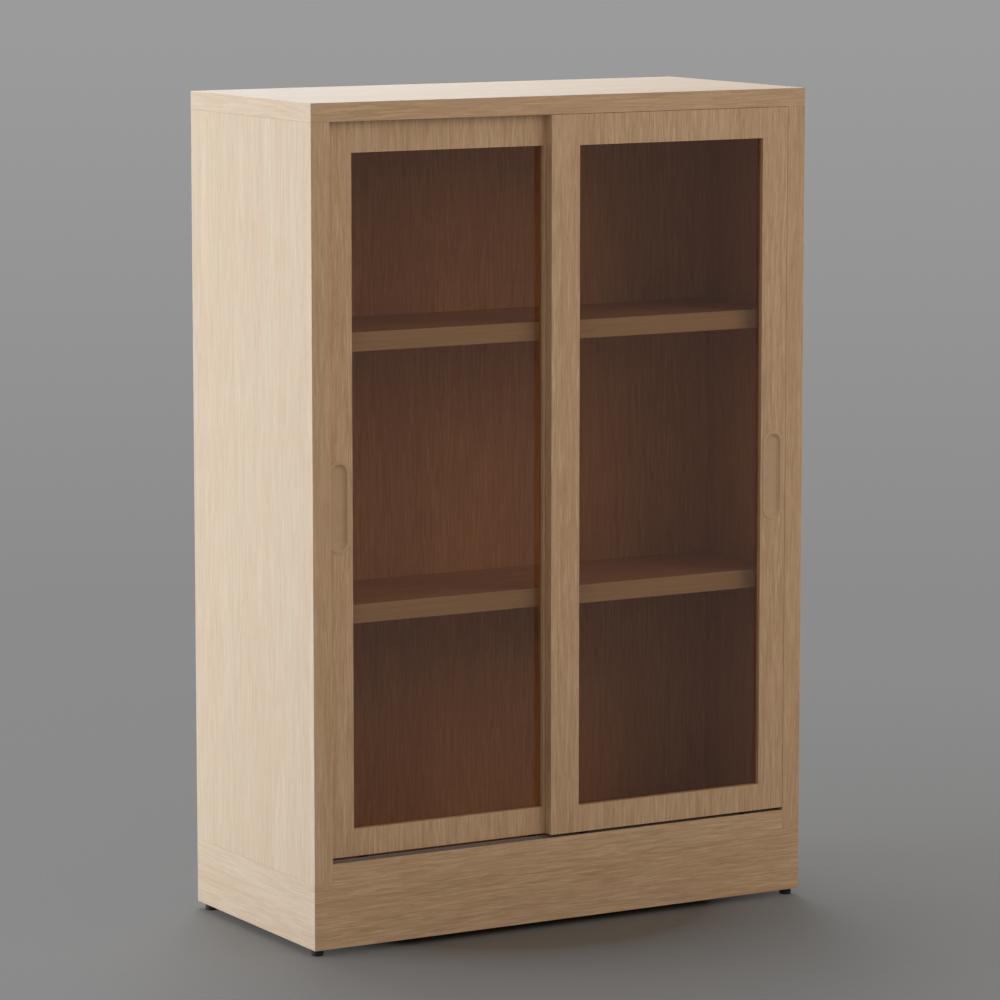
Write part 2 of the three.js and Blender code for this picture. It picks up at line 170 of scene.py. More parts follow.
class GlassSettings(bpy.types.PropertyGroup):
    """Bronze tinted glass"""
    tint: colour("Tint", "What one face of the pane lets through", "e8dbcd")
    bend: bpy.props.FloatProperty(
        name="Bend", description="Refractive index of the front face", default=1.5, min=1, max=2,
    )
    arris: size("Arris", "How far the pane's cut edges are ground", 0.4)


class FittingSettings(bpy.types.PropertyGroup):
    """Finger pulls, tracks, rollers, guides, pins and glides"""
    pull: colour("Pull", "Wood coloured plastic of the finger pulls", "cdaa85")
    band: colour("Edge band", "Plain band on the shelves' front edges", "d1c0a8")
    track: colour("Track", "Grey brown plastic of the tracks", "82736a")
    nylon: colour("Nylon", "Rollers, housings and guides", "232120")
    rubber: colour("Rubber", "Buffers where the doors close", "9c948a")
    glide: colour("Glide", "Black plastic under the plinth", "17171a")
    steel: colour("Steel", "Zinc plated pins, axles, screws and brads", "b6b8bb")
    rim_width: size("Rim width", "Width of the finger pull's rim", 5.8)
    rim_proud: size("Rim height", "How far the rim stands out of the door", 0.8)
    rim_round: size("Rim rounding", "Rounding of the rim's two edges", 0.6)
    cup_slope: size("Cup slope", "How far the cup's walls slope inwards", 3.6)
    cup_round: size("Cup rounding", "Rounding where the walls meet the cup's floor", 0.4)
    cup_wall: size("Cup wall", "Thickness of the cup's wall", 1.2)
    plastic_ease: size("Plastic edge", "How far moulded edges are rounded", 0.25)
    top_web: size("Top web", "Thickness of the upper track over its channels", 1.5)
    rib_rise: size("Rib rise", "How far the lower track's rib stands over its lands", 1.8)
    screw_radius: size("Screw head radius", "Screws that hold the tracks", 2.1)
    screw_height: size("Screw head height", "Screws that hold the tracks", 0.8)
    screw_spacing: size("Screw spacing", "Between the screws of a track", 145)
    brad_radius: size("Brad radius", "Brads that hold the beads", 0.7)
    brad_height: size("Brad height", "How far a brad's head stands out", 0.12)
    brad_spacing: size("Brad spacing", "Between the brads of a bead", 130)


class StageSettings(bpy.types.PropertyGroup):
    """Floor, lamps and camera"""
    floor: colour("Floor", "Plain floor", "75716c")
    near: colour("Near backdrop", "Backdrop where the camera looks down", "8b8b8b")
    far: colour("Far backdrop", "Backdrop towards the horizon and above", "9b9b9b")
    room: colour("Room", "Even light from all round", "a7a6a4")
    sky: colour("Cool light", "Light from the left and from above", "e8f2ff")
    lamp: colour("Warm light", "Light from the front", "fff2e6")
    key_place: place("Key place", "Middle of the light on the left", (-3.35, 1.5, 1.0))
    top_place: place("Top place", "Middle of the light above the back", (0.5, 2.5, 3.5))
    fill_place: place("Fill place", "Middle of the light at the front right", (2.4, -4.0, 2.6))
    side_place: place("Side place", "Middle of the weak light at the front left", (-2.6, -3.6, 2.2))
    key_watts: power("Key power", 123)
    top_watts: power("Top power", 120)
    fill_watts: power("Fill power", 40)
    side_watts: power("Side power", 4.5)
    light_size: size("Light size", "Side of each square light", 2600)
    fade_start: size("Fade start", "Where the floor starts to fade", 300)
    fade_end: size("Fade end", "Where the floor has faded", 2000)
    fade_power: bpy.props.FloatProperty(
        name="Fade power", description="Below 1, the floor fades sooner", default=0.6, min=0.1, max=4,
    )
    camera_place: place("Camera place", "Where the camera stands", (-3.3728, -5.8351, 1.5401))
    camera_pitch: bpy.props.FloatProperty(
        name="Camera pitch", description="Down from level", default=radians(8.02), subtype="ANGLE",
    )
    camera_yaw: bpy.props.FloatProperty(
        name="Camera yaw", description="Turned from straight ahead", default=radians(-30.03),
        subtype="ANGLE",
    )
    camera_lens: bpy.props.FloatProperty(
        name="Lens", description="Focal length", default=170.05, unit="CAMERA",
    )


# Nodes

def socket(sockets, key):
    """The socket in use with this name, identifier or number."""
    if isinstance(key, int):
        return sockets[key]
    return next(found for found in sockets if found.enabled and key in (found.name, found.identifier))


def add(tree, kind, inputs=None, out=None, **settings):
    """Adds a node with its settings and its inputs, each a plain value or an output to link.
    Returns the named output, or the node itself."""
    made = tree.nodes.new(kind)
    for name, value in settings.items():
        setattr(made, name, value)
    for key, value in (inputs or {}).items():
        target = socket(made.inputs, key)
        if isinstance(value, bpy.types.NodeSocket):
            tree.links.new(value, target)
        else:
            target.default_value = value
    return made if out is None else socket(made.outputs, out)


def opaque(shade):
    return (*shade, 1)


def new_material(name, shade):
    """An empty material with its colour for the solid view."""
    material = bpy.data.materials.new(name)
    material.use_nodes = True
    material.node_tree.nodes.clear()
    material.diffuse_color = opaque(shade)
    return material


def close(tree, shader):
    add(tree, "ShaderNodeOutputMaterial", {"Surface": shader})


def blended(tree, amount, first, second):
    """The second colour over the first, by an amount."""
    return add(
        tree, "ShaderNodeMix", {"Factor": amount, "A": first, "B": second}, "Result", data_type="RGBA",
    )


def spread(tree, value, low, high, least=0.0, most=1.0):
    """A value from low to high, as one from least to most."""
    levels = {"Value": value, "From Min": low, "From Max": high, "To Min": least, "To Max": most}
    return add(tree, "ShaderNodeMapRange", levels, "Result", interpolation_type="SMOOTHSTEP")


def grown(tree, at, length, width, seed, detail=2.0):
    """A pattern of spots this long along U and this wide along V, from 0 to 1."""
    counted = add(
        tree, "ShaderNodeVectorMath", {0: at, 1: (1 / length, 1 / width, 0), 2: (0, 0, seed)}, "Vector",
        operation="MULTIPLY_ADD",
    )
    return add(tree, "ShaderNodeTexNoise", {"Vector": counted, "Scale": 1.0, "Detail": detail}, "Fac")


# Finishes

def oak_veneer(name):
    """Sliced oak is pale and straight, with streaks of fibre a few millimetres wide.
    Broad bands lean to pink, and short flecks catch the light between short dark pores.
    The lacquer is matt, and the pores stay open as fine scratches. Real pores are thinner than these,
    which are drawn as wide as they need to be to show.
    Each pattern's noise gathers round a half, so spread picks the part of it that counts."""
    board = bpy.context.scene.bookcase_boards
    material = new_material(name, board.pale)
    tree = material.node_tree
    flat = add(tree, "ShaderNodeUVMap", out="UV", uv_map=GRAIN_MAP)
    sway = spread(tree, grown(tree, flat, board.band_length / 2, board.band_width * 3, 4.5), 0.2, 0.8)
    wave = spread(tree, grown(tree, flat, board.ripple_length, board.ripple_length / 3, 27.5), 0.2, 0.8)
    rippled = add(tree, "ShaderNodeMath", {0: wave, 1: board.ripple}, "Value", operation="MULTIPLY")
    pushed = add(
        tree, "ShaderNodeMath", {0: sway, 1: board.wander, 2: rippled}, "Value", operation="MULTIPLY_ADD",
    )
    offset = add(tree, "ShaderNodeCombineXYZ", {"Y": pushed}, "Vector")
    along = add(tree, "ShaderNodeVectorMath", {0: flat, 1: offset}, "Vector", operation="ADD")
    fibre = spread(tree, grown(tree, along, board.fibre_length, board.fibre_width, 1.5, 3.0), 0.34, 0.66)
    band = spread(tree, grown(tree, along, board.band_length, board.band_width, 7.5), 0.3, 0.7)
    warm = spread(tree, grown(tree, along, board.band_length / 2, board.band_width / 2, 11.5), 0.35, 0.65)
    fleck = spread(tree, grown(tree, along, board.fleck_length, board.fleck_width, 21.5), 0.48, 0.68)
    pore = spread(tree, grown(tree, along, board.pore_length, board.pore_width, 15.5, 1.0), 0.58, 0.74)
    # The shell's outer faces get the light tone with less grain, partly a painted highlight of the lit side
    # and top; other faces keep the richer pale tone
    figure = add(tree, "ShaderNodeAttribute", out="Fac", attribute_name=FIGURE)
    rich_unhighlit_share = spread(tree, figure, board.quiet, board.edge)
    wood = blended(tree, rich_unhighlit_share, opaque(board.light), opaque(board.pale))
    layers = (
        (fibre, 0.52, "deep"),
        (band, 0.28, "deep"),
        (warm, 0.3, "rose"),
        (fleck, 0.34, "sap"),
        (pore, 0.2, "pore"),
    )
    for pattern, most, tone in layers:
        strength = add(tree, "ShaderNodeMath", {0: figure, 1: most}, "Value", operation="MULTIPLY")
        amount = add(tree, "ShaderNodeMath", {0: pattern, 1: strength}, "Value", operation="MULTIPLY")
        wood = blended(tree, amount, wood, opaque(getattr(board, tone)))
    height = add(tree, "ShaderNodeMath", {0: 1.0, 1: pore}, "Value", operation="SUBTRACT")
    bump = add(
        tree, "ShaderNodeBump", {"Strength": 0.5, "Distance": board.pore_depth, "Height": height}, "Normal",
    )
    shader = add(tree, "ShaderNodeBsdfPrincipled", {
        "Base Color": wood, "Roughness": spread(tree, pore, 0, 1, 0.55, 0.75), "Normal": bump,
        "Specular IOR Level": 0.35,
    }, "BSDF")
    close(tree, shader)
    return material


def edge_band(name):
    """A printed band has one tan tone with hardly any figure, and a slight satin sheen."""
    fitting = bpy.context.scene.bookcase_fittings
    streak_length, streak_width, relief = 120 * MILLIMETRE, 3 * MILLIMETRE, 0.03 * MILLIMETRE
    material = new_material(name, fitting.band)
    tree = material.node_tree
    flat = add(tree, "ShaderNodeUVMap", out="UV", uv_map=GRAIN_MAP)
    streak = grown(tree, flat, streak_length, streak_width, 2.5)
    darker = [part * 0.9 for part in fitting.band]
    tone = blended(tree, spread(tree, streak, 0.3, 0.7), opaque(fitting.band), opaque(darker))
    bump = add(tree, "ShaderNodeBump", {"Strength": 0.3, "Distance": relief, "Height": streak}, "Normal")
    shader = add(tree, "ShaderNodeBsdfPrincipled", {
        "Base Color": tone, "Roughness": spread(tree, streak, 0, 1, 0.45, 0.55), "Normal": bump,
    }, "BSDF")
    close(tree, shader)
    return material


def moulded(name, shade, dullness, grain, relief):
    """Moulded plastic: a faint cloudiness in the colour, and the fine grain that the mould leaves."""
    cloud_size = 12 * MILLIMETRE
    material = new_material(name, shade)
    tree = material.node_tree
    at = add(tree, "ShaderNodeTexCoord", out="Object")
    cloud = add(tree, "ShaderNodeTexNoise", {"Vector": at, "Scale": 1 / cloud_size}, "Fac")
    skin = add(tree, "ShaderNodeTexNoise", {"Vector": at, "Scale": 1 / grain, "Detail": 1.0}, "Fac")
    darker = [part * 0.94 for part in shade]
    tone = blended(tree, spread(tree, cloud, 0.3, 0.7), opaque(shade), opaque(darker))
    bump = add(tree, "ShaderNodeBump", {"Strength": 0.4, "Distance": relief, "Height": skin}, "Normal")
    shader = add(tree, "ShaderNodeBsdfPrincipled", {
        "Base Color": tone, "Roughness": spread(tree, cloud, 0, 1, dullness - 0.05, dullness + 0.05),
        "Normal": bump,
    }, "BSDF")
    close(tree, shader)
    return material


def zinc_steel(name):
    """Zinc plate is a cool grey metal, dulled by a soft crystalline mottle."""
    crystal = 1.5 * MILLIMETRE
    fitting = bpy.context.scene.bookcase_fittings
    material = new_material(name, fitting.steel)
    tree = material.node_tree
    at = add(tree, "ShaderNodeTexCoord", out="Object")
    mottle = add(tree, "ShaderNodeTexVoronoi", {"Vector": at, "Scale": 1 / crystal}, "Distance")
    darker = [part * 0.8 for part in fitting.steel]
    tone = blended(tree, spread(tree, mottle, 0, 0.8), opaque(fitting.steel), opaque(darker))
    shader = add(tree, "ShaderNodeBsdfPrincipled", {
        "Base Color": tone, "Metallic": 1.0, "Roughness": spread(tree, mottle, 0, 0.8, 0.28, 0.42),
    }, "BSDF")
    close(tree, shader)
    return material


def glass_front(name):
    """The front of the pane bends what is seen through it and mirrors the room faintly.
    Lamp light and light from the room go straight through it, tinted."""
    glass = bpy.context.scene.bookcase_glass
    material = new_material(name, glass.tint)
    tree = material.node_tree
    bent = add(tree, "ShaderNodeBsdfPrincipled", {
        "Base Color": opaque(glass.tint), "Roughness": 0.0, "IOR": glass.bend, "Transmission Weight": 1.0,
        "Specular IOR Level": 0.06,
    }, "BSDF")
    straight = add(tree, "ShaderNodeBsdfTransparent", {"Color": opaque(glass.tint)}, "BSDF")
    path = add(tree, "ShaderNodeLightPath")
    lit = add(tree, "ShaderNodeMath", {
        0: socket(path.outputs, "Is Shadow Ray"), 1: socket(path.outputs, "Is Diffuse Ray"),
    }, "Value", operation="MAXIMUM")
    close(tree, add(tree, "ShaderNodeMixShader", {"Fac": lit, 1: bent, 2: straight}, "Shader"))
    return material


def glass_back(name):
    """The back and the cut edges of the pane only tint what passes through them."""
    glass = bpy.context.scene.bookcase_glass
    material = new_material(name, glass.tint)
    tree = material.node_tree
    close(tree, add(tree, "ShaderNodeBsdfTransparent", {"Color": opaque(glass.tint)}, "BSDF"))
    return material


FINISHES = {
    "oak_veneer": oak_veneer,
    "plain_edge_band": edge_band,
    "bronze_glass_front": glass_front,
    "bronze_glass_back": glass_back,
    "zinc_steel": zinc_steel,
}
# Each plastic has the setting of its colour, its roughness, and its mould's grain and relief in millimetres.
# Nylon comes out of a polished mould and is the smoothest, and rubber is dull and coarse.
PLASTICS = {
    "tan_plastic": ("pull", 0.5, 0.35, 0.02),
    "black_plastic": ("glide", 0.5, 0.35, 0.03),
    "grey_plastic": ("track", 0.45, 0.35, 0.02),
    "black_nylon": ("nylon", 0.4, 0.35, 0.01),
    "grey_rubber": ("rubber", 0.7, 0.7, 0.05),
}


def finish(key):
    """The finish of a material slot, made the first time that it is asked for."""
    name = f"{key}_finish"
    made = bpy.data.materials.get(name)
    if made:
        return made
    if key in FINISHES:
        return FINISHES[key](name)
    setting, dullness, grain, relief = PLASTICS[key]
    shade = getattr(bpy.context.scene.bookcase_fittings, setting)
    return moulded(name, shade, dullness, grain * MILLIMETRE, relief * MILLIMETRE)


# Pieces

def body_of(node):
    return frame["nodes"][node]["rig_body"]


def show(name, mesh, nodes, body, slot, *finishes):
    """Puts a finished mesh in the scene, on its body and in place of the solids that it stands for."""
    piece = bpy.data.objects.new(name, mesh)
    bpy.context.scene.collection.objects.link(piece)
    for key in finishes or (slot,):
        mesh.materials.append(finish(key))
    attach(piece, body)
    if nodes:
        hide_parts(*nodes)
    return piece


def eased(node, ease, steps=2):
    """A copy of a solid with whole flat faces, whose outer edges are rounded over a little."""
    same_point, same_plane, sharp_turn = 0.01 * MILLIMETRE, radians(1), radians(30)
    shape = bmesh.new()
    shape.from_mesh(frame["nodes"][node].data)
    bmesh.ops.remove_doubles(shape, verts=shape.verts, dist=same_point)
    bmesh.ops.dissolve_limit(shape, angle_limit=same_plane, verts=shape.verts, edges=shape.edges)
    sharp = [edge for edge in shape.edges if edge.is_convex and edge.calc_face_angle(0) > sharp_turn]
    bmesh.ops.bevel(
        shape, geom=sharp, offset=ease, segments=steps, profile=0.5, affect="EDGES", clamp_overlap=True,
    )
    mesh = bpy.data.meshes.new(f"{node}_eased")
    shape.to_mesh(mesh)
    shape.free()
    return mesh


def figure_of(face, facing, shell):
    """Strength of the grain on a face. Backs are quiet, and so are the outer faces of the shell, whose
    quiet, pale veneer is partly a painted highlight of the lit side and top.
    """
    board = bpy.context.scene.bookcase_boards
    if facing == Y and face.normal.y > 0:
        return board.quiet
    if not shell:
        return board.lively
    if facing == Y:
        return board.edge
    outer = solid_box[1 if face.normal[facing] > 0 else 0][facing]
    return board.quiet if abs(face.center[facing] - outer) < MILLIMETRE else board.lively


def lay_grain(mesh, along, shift, shell):
    """Lays the grain map in metres. U follows the fibres, and V goes across them.
    An end of the board carries a strip of veneer that runs along its longer side.
    A board's shift and the way that a face looks pick another stretch of the veneer."""
    axis_step, way_step = 0.37, 0.19
    spans = [[vertex.co[axis] for vertex in mesh.vertices] for axis in range(3)]
    sizes = [max(span) - min(span) for span in spans]
    mesh.attributes.new(FIGURE, "FLOAT", "FACE")
    mesh.uv_layers.new(name=GRAIN_MAP)
    strength, grain = mesh.attributes[FIGURE].data, mesh.uv_layers[GRAIN_MAP].data
    for face in mesh.polygons:
        facing = max(range(3), key=lambda axis: abs(face.normal[axis]))
        strength[face.index].value = figure_of(face, facing, shell)
        others = [axis for axis in range(3) if axis != facing]
        run = along if facing != along else max(others, key=lambda axis: sizes[axis])
        cross = next(axis for axis in others if axis != run)
        side = axis_step * facing + (way_step if face.normal[facing] > 0 else 0)
        for corner in face.loop_indices:
            point = mesh.vertices[mesh.loops[corner].vertex_index].co
            grain[corner].uv = (point[run] + shift + side, point[cross] + 3 * shift + side)
    return mesh


def veneered(node, along, ease, shift, slot="oak_veneer"):
    """A board of the cabinet, with eased edges and laid veneer, in place of its solid."""
    mesh = lay_grain(eased(node, ease), along, shift, node in SHELL)
    return show(f"{node}_veneered", mesh, [node], body_of(node), slot)


def turned(name, profile, steps, middle, axis):
    """A closed round piece about an axis, from points of radius and place along the axis.
    The profile starts and ends on the axis, or closes on itself."""
    across, up = [Vector([1 if at == (axis + turn) % 3 else 0 for at in range(3)]) for turn in (1, 2)]
    forward = Vector([1 if at == axis else 0 for at in range(3)])
    shape = bmesh.new()
    rings = []
    for radius, reach in profile:
        centre = Vector(middle) + forward * reach
        count = steps if radius > 0 else 1
        angles = [2 * pi * step / steps for step in range(count)]
        rings.append([shape.verts.new(centre + radius * (cos(a) * across + sin(a) * up)) for a in angles])
    pairs = list(zip(rings, rings[1:]))
    if profile[0][0] > 0:
        pairs.append((rings[-1], rings[0]))
    for first, second in pairs:
        for step in range(steps):
            after = (step + 1) % steps
            corners = [first[step % len(first)], second[step % len(second)]]
            corners += [second[after % len(second)], first[after % len(first)]]
            shape.faces.new(list(dict.fromkeys(corners)))
    bmesh.ops.recalc_face_normals(shape, faces=shape.faces)
    mesh = bpy.data.meshes.new(name)
    shape.to_mesh(mesh)
    shape.free()
    mesh.shade_smooth()
    mesh.set_sharp_from_angle(angle=radians(35))
    return mesh


def rounded(corner, radius, start, steps=5):
    """Points of a quarter circle about a corner's centre, from a start angle, for a profile."""
    angles = [start + step / steps * pi / 2 for step in range(steps + 1)]
    return [(corner[0] + radius * cos(angle), corner[1] + radius * sin(angle)) for angle in angles]


# Geometry nodes

def new_tree(name, inputs):
    """A tree that turns one geometry into another, with these named inputs."""
    tree = bpy.data.node_groups.new(name, "GeometryNodeTree")
    tree.interface.new_socket("Geometry", in_out="INPUT", socket_type="NodeSocketGeometry")
    for key, kind in inputs.items():
        tree.interface.new_socket(key, in_out="INPUT", socket_type=f"NodeSocket{kind}")
    tree.interface.new_socket("Geometry", in_out="OUTPUT", socket_type="NodeSocketGeometry")
    return tree, add(tree, "NodeGroupInput").outputs


def finish_tree(tree, geometry, material):
    """Ends a tree with real meshes in their finish."""
    real = add(tree, "GeometryNodeRealizeInstances", {"Geometry": geometry}, "Geometry")
    painted = add(tree, "GeometryNodeSetMaterial", {"Geometry": real, "Material": material}, "Geometry")
    add(tree, "NodeGroupOutput", {"Geometry": painted})
    return tree


def grown_mesh(name, start, tree, values):
    """The plain mesh that a tree makes from a starting mesh, with these values for its named inputs."""
    holder = bpy.data.objects.new(f"{name}_holder", start)
    bpy.context.scene.collection.objects.link(holder)
    modifier = holder.modifiers.new(tree.name, "NODES")
    modifier.node_group = tree
    for item in tree.interface.items_tree:
        if item.in_out == "INPUT" and item.name in values:
            modifier[item.identifier] = values[item.name]
    graph = bpy.context.evaluated_depsgraph_get()
    mesh = bpy.data.meshes.new_from_object(holder.evaluated_get(graph), depsgraph=graph)
    mesh.name = name
    holder.modifiers.clear()
    bpy.data.objects.remove(holder)
    mesh.materials.clear()
    return mesh


def heads_tree():
    """Sets small heads along lines, a spacing apart and all facing the same way.
    Heads with a recess have a cross cut into them."""
    name = "heads_along_lines"
    if name in bpy.data.node_groups:
        return bpy.data.node_groups[name]
    tree, given = new_tree(name, {
        "Spacing": "Float", "Radius": "Float", "Height": "Float", "Recess": "Bool", "Facing": "Vector",
        "Material": "Material",
    })

    def times(value, factor):
        return add(tree, "ShaderNodeMath", {0: value, 1: factor}, "Value", operation="MULTIPLY")

    # The flat top's radius and the recess's length and width, in radii of the head
    flat_top, recess_length, recess_width = 0.7, 1.1, 0.24
    radius, height = given["Radius"], given["Height"]
    pan = add(tree, "GeometryNodeMeshCone", {
        "Vertices": 24, "Radius Top": times(radius, flat_top), "Radius Bottom": radius, "Depth": height,
    }, "Mesh", fill_type="NGON")
    blades = []
    for long_side, short_side in ((recess_length, recess_width), (recess_width, recess_length)):
        size_of = add(tree, "ShaderNodeCombineXYZ", {
            "X": times(radius, long_side), "Y": times(radius, short_side), "Z": height,
        }, "Vector")
        blades.append(add(tree, "GeometryNodeMeshCube", {"Size": size_of}, "Mesh"))
    lift = add(tree, "ShaderNodeCombineXYZ", {"Z": times(height, 0.5)}, "Vector")
    lifted = [
        add(tree, "GeometryNodeTransform", {"Geometry": blade, "Translation": lift}, "Geometry")
        for blade in blades
    ]
    recessed = pan
    for blade in lifted:
        recessed = add(
            tree, "GeometryNodeMeshBoolean", {0: recessed, 1: blade}, "Mesh", operation="DIFFERENCE",
        )
    head = add(tree, "GeometryNodeSwitch", {
        "Switch": given["Recess"], "False": pan, "True": recessed,
    }, "Output", input_type="GEOMETRY")
    lines = add(tree, "GeometryNodeMeshToCurve", {"Mesh": given["Geometry"]}, "Curve")
    spots = add(tree, "GeometryNodeResampleCurve", {
        "Curve": lines, "Length": given["Spacing"],
    }, "Curve", mode="LENGTH")
    turn = add(tree, "FunctionNodeAlignRotationToVector", {"Vector": given["Facing"]}, "Rotation", axis="Z")
    heads = add(tree, "GeometryNodeInstanceOnPoints", {
        "Points": spots, "Instance": head, "Rotation": turn,
    }, "Instances")
    return finish_tree(tree, heads, given["Material"])


def set_heads(name, lines, facing, kind, spacing, body):
    """A piece of small heads along lines, each line a pair of end points."""
    fitting = bpy.context.scene.bookcase_fittings
    corners = [point for line in lines for point in line]
    start = bpy.data.meshes.new(f"{name}_lines")
    start.from_pydata(corners, [(at, at + 1) for at in range(0, len(corners), 2)], [])
    mesh = grown_mesh(name, start, heads_tree(), {
        "Spacing": spacing,
        "Radius": getattr(fitting, f"{kind}_radius"),
        "Height": getattr(fitting, f"{kind}_height"),
        "Recess": kind == "screw",
        "Facing": facing,
        "Material": finish("zinc_steel"),
    })
    return show(name, mesh, [], body, "zinc_steel")


def pull_tree():
    """Sweeps a profile round a slot with round ends. The starting mesh holds the profile's points,
    where X is the inset from the outline and Z the height. An inset shrinks the radius of the round ends,
    so the profile's two ends meet in the middle and close the piece."""
    name = "swept_round_end_slot"
    if name in bpy.data.node_groups:
        return bpy.data.node_groups[name]
    tree, given = new_tree(name, {
        "Width": "Float", "Length": "Float", "Steps": "Int", "Points": "Int", "Material": "Material",
    })

    def sum_of(operation, *terms):
        return add(tree, "ShaderNodeMath", dict(enumerate(terms)), "Value", operation=operation)

    half_turn = sum_of("ADD", given["Steps"], 1)
    columns = sum_of("ADD", sum_of("MULTIPLY", half_turn, 2), 1)
    sheet = add(
        tree, "GeometryNodeMeshGrid", {"Vertices X": columns, "Vertices Y": given["Points"]}, "Mesh",
    )
    index = add(tree, "GeometryNodeInputIndex", out="Index")
    column = sum_of("FLOOR", sum_of("DIVIDE", sum_of("ADD", index, 0.5), given["Points"]))
    row = sum_of("SUBTRACT", index, sum_of("MULTIPLY", column, given["Points"]))
    half = sum_of("FLOOR", sum_of("DIVIDE", sum_of("ADD", column, 0.5), half_turn))
    step = sum_of("SUBTRACT", column, sum_of("MULTIPLY", half, half_turn))
    angle = sum_of("MULTIPLY", sum_of("ADD", sum_of("DIVIDE", step, given["Steps"]), half), pi)
    position = add(tree, "GeometryNodeInputPosition", out="Position")
    drawn = add(tree, "GeometryNodeSampleIndex", {
        "Geometry": given["Geometry"], "Value": position, "Index": row,
    }, "Value", data_type="FLOAT_VECTOR", domain="POINT")
    split = add(tree, "ShaderNodeSeparateXYZ", {"Vector": drawn})
    radius = sum_of("SUBTRACT", sum_of("DIVIDE", given["Width"], 2), socket(split.outputs, "X"))
    straight = sum_of("DIVIDE", sum_of("SUBTRACT", given["Length"], given["Width"]), 2)
    upper = sum_of("SUBTRACT", 1, sum_of("MULTIPLY", sum_of("MODULO", half, 2), 2))
    across = sum_of("MULTIPLY", radius, sum_of("COSINE", angle))
    arc = sum_of("MULTIPLY", radius, sum_of("SINE", angle))
    up = sum_of("ADD", arc, sum_of("MULTIPLY", straight, upper))
    moved = add(tree, "ShaderNodeCombineXYZ", {
        "X": across, "Y": up, "Z": socket(split.outputs, "Z"),
    }, "Vector")
    swept = add(tree, "GeometryNodeSetPosition", {"Geometry": sheet, "Position": moved}, "Geometry")
    same_point = 0.005 * MILLIMETRE
    whole = add(tree, "GeometryNodeMergeByDistance", {
        "Geometry": swept, "Distance": same_point,
    }, "Geometry")
    return finish_tree(tree, whole, given["Material"])


# Operators

class BOOKCASE_OT_boards(bpy.types.Operator):
    """Lays oak veneer on the carcass, the plinth and the shelves"""
    bl_idname = "bookcase.boards"
    bl_label = "Carcass, plinth and shelves"

    def execute(self, context):
        board = context.scene.bookcase_boards
        # The boards by the axis that their fibres run along
        grain = {
            X: ["top_panel", "bottom_panel", "lower_shelf", "upper_shelf", "plinth_front", "plinth_back"],
            Y: ["plinth_left", "plinth_right"],
            Z: ["left_side_panel", "right_side_panel", "back_panel"],
        }
        # Metres of veneer between the starts of two boards, and of two directions of the fibres
        board_step, direction_step = 1.3, 2.1
        for along, nodes in grain.items():
            for order, node in enumerate(nodes):
                veneered(node, along, board.carcass_ease, board_step * order + direction_step * along)
        for level in ("lower", "upper"):
            node = f"{level}_shelf_edge_band"
            veneered(node, X, board.carcass_ease, 0.7, slot="plain_edge_band")
        return {"FINISHED"}


class BOOKCASE_OT_doors(bpy.types.Operator):
    """Veneers the two door frames and the beads that hold their panes"""
    bl_idname = "bookcase.doors"
    bl_label = "Door frames and beads"

    def execute(self, context):
        board = context.scene.bookcase_boards
        fitting = context.scene.bookcase_fittings
        # Metres into the veneer where the first door's pieces start, and how far on the second door's do
        frame_start, frame_step = 3.3, 1.7
        bead_start, bead_step = 5.1, 0.9
        for order, door in enumerate(("front", "rear")):
            veneered(f"{door}_door_frame", Z, board.door_ease, frame_start + frame_step * order)
            lines = []
            for side in ("top", "bottom", "left", "right"):
                node = f"{door}_door_bead_{side}"
                along = X if side in ("top", "bottom") else Z
                veneered(node, along, board.carcass_ease, bead_start + bead_step * order)
                low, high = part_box(node)
                middle = (low + high) / 2
                ends = [middle.copy(), middle.copy()]
                inset = fitting.brad_spacing / 3
                ends[0][along] = low[along] + inset
                ends[1][along] = high[along] - inset
                for end in ends:
                    end.y = high.y
                lines.append(ends)
            backwards = (0, 1, 0)
            set_heads(f"{door}_door_brads", lines, backwards, "brad", fitting.brad_spacing, f"{door}_door")
        return {"FINISHED"}


class BOOKCASE_OT_panes(bpy.types.Operator):
    """Makes the bronze panes, whose front face bends what is seen through it"""
    bl_idname = "bookcase.panes"
    bl_label = "Panes of glass"

    def execute(self, context):
        for door in ("front", "rear"):
            node = f"{door}_door_glass"
            mesh = eased(node, context.scene.bookcase_glass.arris, 1)
            for face in mesh.polygons:
                face.material_index = 0 if face.normal.y < -0.9 else 1
            finishes = ("bronze_glass_front", "bronze_glass_back")
            show(f"{door}_door_pane", mesh, [node], body_of(node), "bronze_glass", *finishes)
        return {"FINISHED"}


